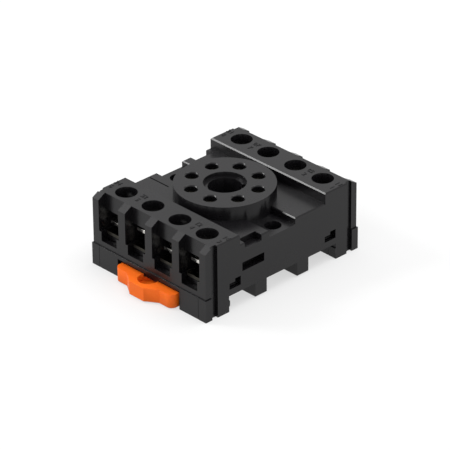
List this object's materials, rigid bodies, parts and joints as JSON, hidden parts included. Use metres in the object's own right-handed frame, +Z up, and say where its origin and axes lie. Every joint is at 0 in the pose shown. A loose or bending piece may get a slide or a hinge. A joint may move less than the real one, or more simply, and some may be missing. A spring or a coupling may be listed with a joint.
{
  "type": "relay socket",
  "caption": "Round-pin relay socket for rail or panel: black moulded body, raised plug disc, rows of screw-clamp terminals and an orange rail release clip.",
  "frame": {"origin": "centre of the pin circle, on the plane that the feet stand on", "axes": "+X along a row of terminals, +Y from the row above the rail clip to the other row, +Z up along the plug's centre post"},
  "size_m": [0.04, 0.0549, 0.0203],
  "materials": {
    "housing_plastic": "fine spark-eroded mould texture, matte black",
    "base_plastic": "fine mould texture, matte black",
    "clip_plastic": "orange, semi-matte moulded",
    "screw_steel": "nickel plated, bright",
    "clamp_steel": "nickel plated, bright",
    "contact_metal": "nickel-plated brass sheet, satin"
  },
  "bodies": {
    "socket": {"housing": "housing_plastic", "base": "base_plastic", "contact_strip_1": "contact_metal", "contact_strip_2": "contact_metal", "contact_strip_3": "contact_metal", "contact_strip_4": "contact_metal", "contact_strip_5": "contact_metal", "contact_strip_6": "contact_metal", "contact_strip_7": "contact_metal", "contact_strip_8": "contact_metal"},
    "clip": {"rail_clip": "clip_plastic"},
    "clamp_1": {"clamp_washer_1": "clamp_steel"},
    "screw_1": {"terminal_screw_1": "screw_steel"},
    "clamp_2": {"clamp_washer_2": "clamp_steel"},
    "screw_2": {"terminal_screw_2": "screw_steel"},
    "clamp_3": {"clamp_washer_3": "clamp_steel"},
    "screw_3": {"terminal_screw_3": "screw_steel"},
    "clamp_4": {"clamp_washer_4": "clamp_steel"},
    "screw_4": {"terminal_screw_4": "screw_steel"},
    "clamp_5": {"clamp_washer_5": "clamp_steel"},
    "screw_5": {"terminal_screw_5": "screw_steel"},
    "clamp_6": {"clamp_washer_6": "clamp_steel"},
    "screw_6": {"terminal_screw_6": "screw_steel"},
    "clamp_7": {"clamp_washer_7": "clamp_steel"},
    "screw_7": {"terminal_screw_7": "screw_steel"},
    "clamp_8": {"clamp_washer_8": "clamp_steel"},
    "screw_8": {"terminal_screw_8": "screw_steel"}
  },
  "joints": [
    {"name": "clip_slide", "type": "slide", "parent": "socket", "child": "clip", "axis": [0, -1, 0], "range_m": [0, 0.0028]},
    {"name": "clamp_lift_1", "type": "slide", "parent": "socket", "child": "clamp_1", "axis": [0, 0, 1], "range_m": [-0.00115, 0.00225]},
    {"name": "screw_turn_1", "type": "hinge", "parent": "clamp_1", "child": "screw_1", "pos_m": [-0.0141, -0.0192, 0.0095], "axis": [0, 0, 1], "range_deg": [-695, 1355]},
    {"name": "clamp_lift_2", "type": "slide", "parent": "socket", "child": "clamp_2", "axis": [0, 0, 1], "range_m": [-0.0031, 0.0003]},
    {"name": "screw_turn_2", "type": "hinge", "parent": "clamp_2", "child": "screw_2", "pos_m": [-0.0047, -0.0192, 0.0095], "axis": [0, 0, 1], "range_deg": [-1865, 185]},
    {"name": "clamp_lift_3", "type": "slide", "parent": "socket", "child": "clamp_3", "axis": [0, 0, 1], "range_m": [-0.0016, 0.0018]},
    {"name": "screw_turn_3", "type": "hinge", "parent": "clamp_3", "child": "screw_3", "pos_m": [0.0047, -0.0192, 0.0095], "axis": [0, 0, 1], "range_deg": [-965, 1085]},
    {"name": "clamp_lift_4", "type": "slide", "parent": "socket", "child": "clamp_4", "axis": [0, 0, 1], "range_m": [-0.00265, 0.00075]},
    {"name": "screw_turn_4", "type": "hinge", "parent": "clamp_4", "child": "screw_4", "pos_m": [0.0141, -0.0192, 0.0095], "axis": [0, 0, 1], "range_deg": [-1595, 455]},
    {"name": "clamp_lift_5", "type": "slide", "parent": "socket", "child": "clamp_5", "axis": [0, 0, 1], "range_m": [-0.00115, 0.00225]},
    {"name": "screw_turn_5", "type": "hinge", "parent": "clamp_5", "child": "screw_5", "pos_m": [0.0141, 0.0192, 0.0095], "axis": [0, 0, 1], "range_deg": [-695, 1355]},
    {"name": "clamp_lift_6", "type": "slide", "parent": "socket", "child": "clamp_6", "axis": [0, 0, 1], "range_m": [-0.0031, 0.0003]},
    {"name": "screw_turn_6", "type": "hinge", "parent": "clamp_6", "child": "screw_6", "pos_m": [0.0047, 0.0192, 0.0095], "axis": [0, 0, 1], "range_deg": [-1865, 185]},
    {"name": "clamp_lift_7", "type": "slide", "parent": "socket", "child": "clamp_7", "axis": [0, 0, 1], "range_m": [-0.0016, 0.0018]},
    {"name": "screw_turn_7", "type": "hinge", "parent": "clamp_7", "child": "screw_7", "pos_m": [-0.0047, 0.0192, 0.0095], "axis": [0, 0, 1], "range_deg": [-965, 1085]},
    {"name": "clamp_lift_8", "type": "slide", "parent": "socket", "child": "clamp_8", "axis": [0, 0, 1], "range_m": [-0.00265, 0.00075]},
    {"name": "screw_turn_8", "type": "hinge", "parent": "clamp_8", "child": "screw_8", "pos_m": [-0.0141, 0.0192, 0.0095], "axis": [0, 0, 1], "range_deg": [-1595, 455]}
  ],
  "couplings": [
    {"joint": "screw_turn_1", "follows": "clamp_lift_1", "rad_per_m": 10472},
    {"joint": "screw_turn_2", "follows": "clamp_lift_2", "rad_per_m": 10472},
    {"joint": "screw_turn_3", "follows": "clamp_lift_3", "rad_per_m": 10472},
    {"joint": "screw_turn_4", "follows": "clamp_lift_4", "rad_per_m": 10472},
    {"joint": "screw_turn_5", "follows": "clamp_lift_5", "rad_per_m": 10472},
    {"joint": "screw_turn_6", "follows": "clamp_lift_6", "rad_per_m": 10472},
    {"joint": "screw_turn_7", "follows": "clamp_lift_7", "rad_per_m": 10472},
    {"joint": "screw_turn_8", "follows": "clamp_lift_8", "rad_per_m": 10472}
  ]
}
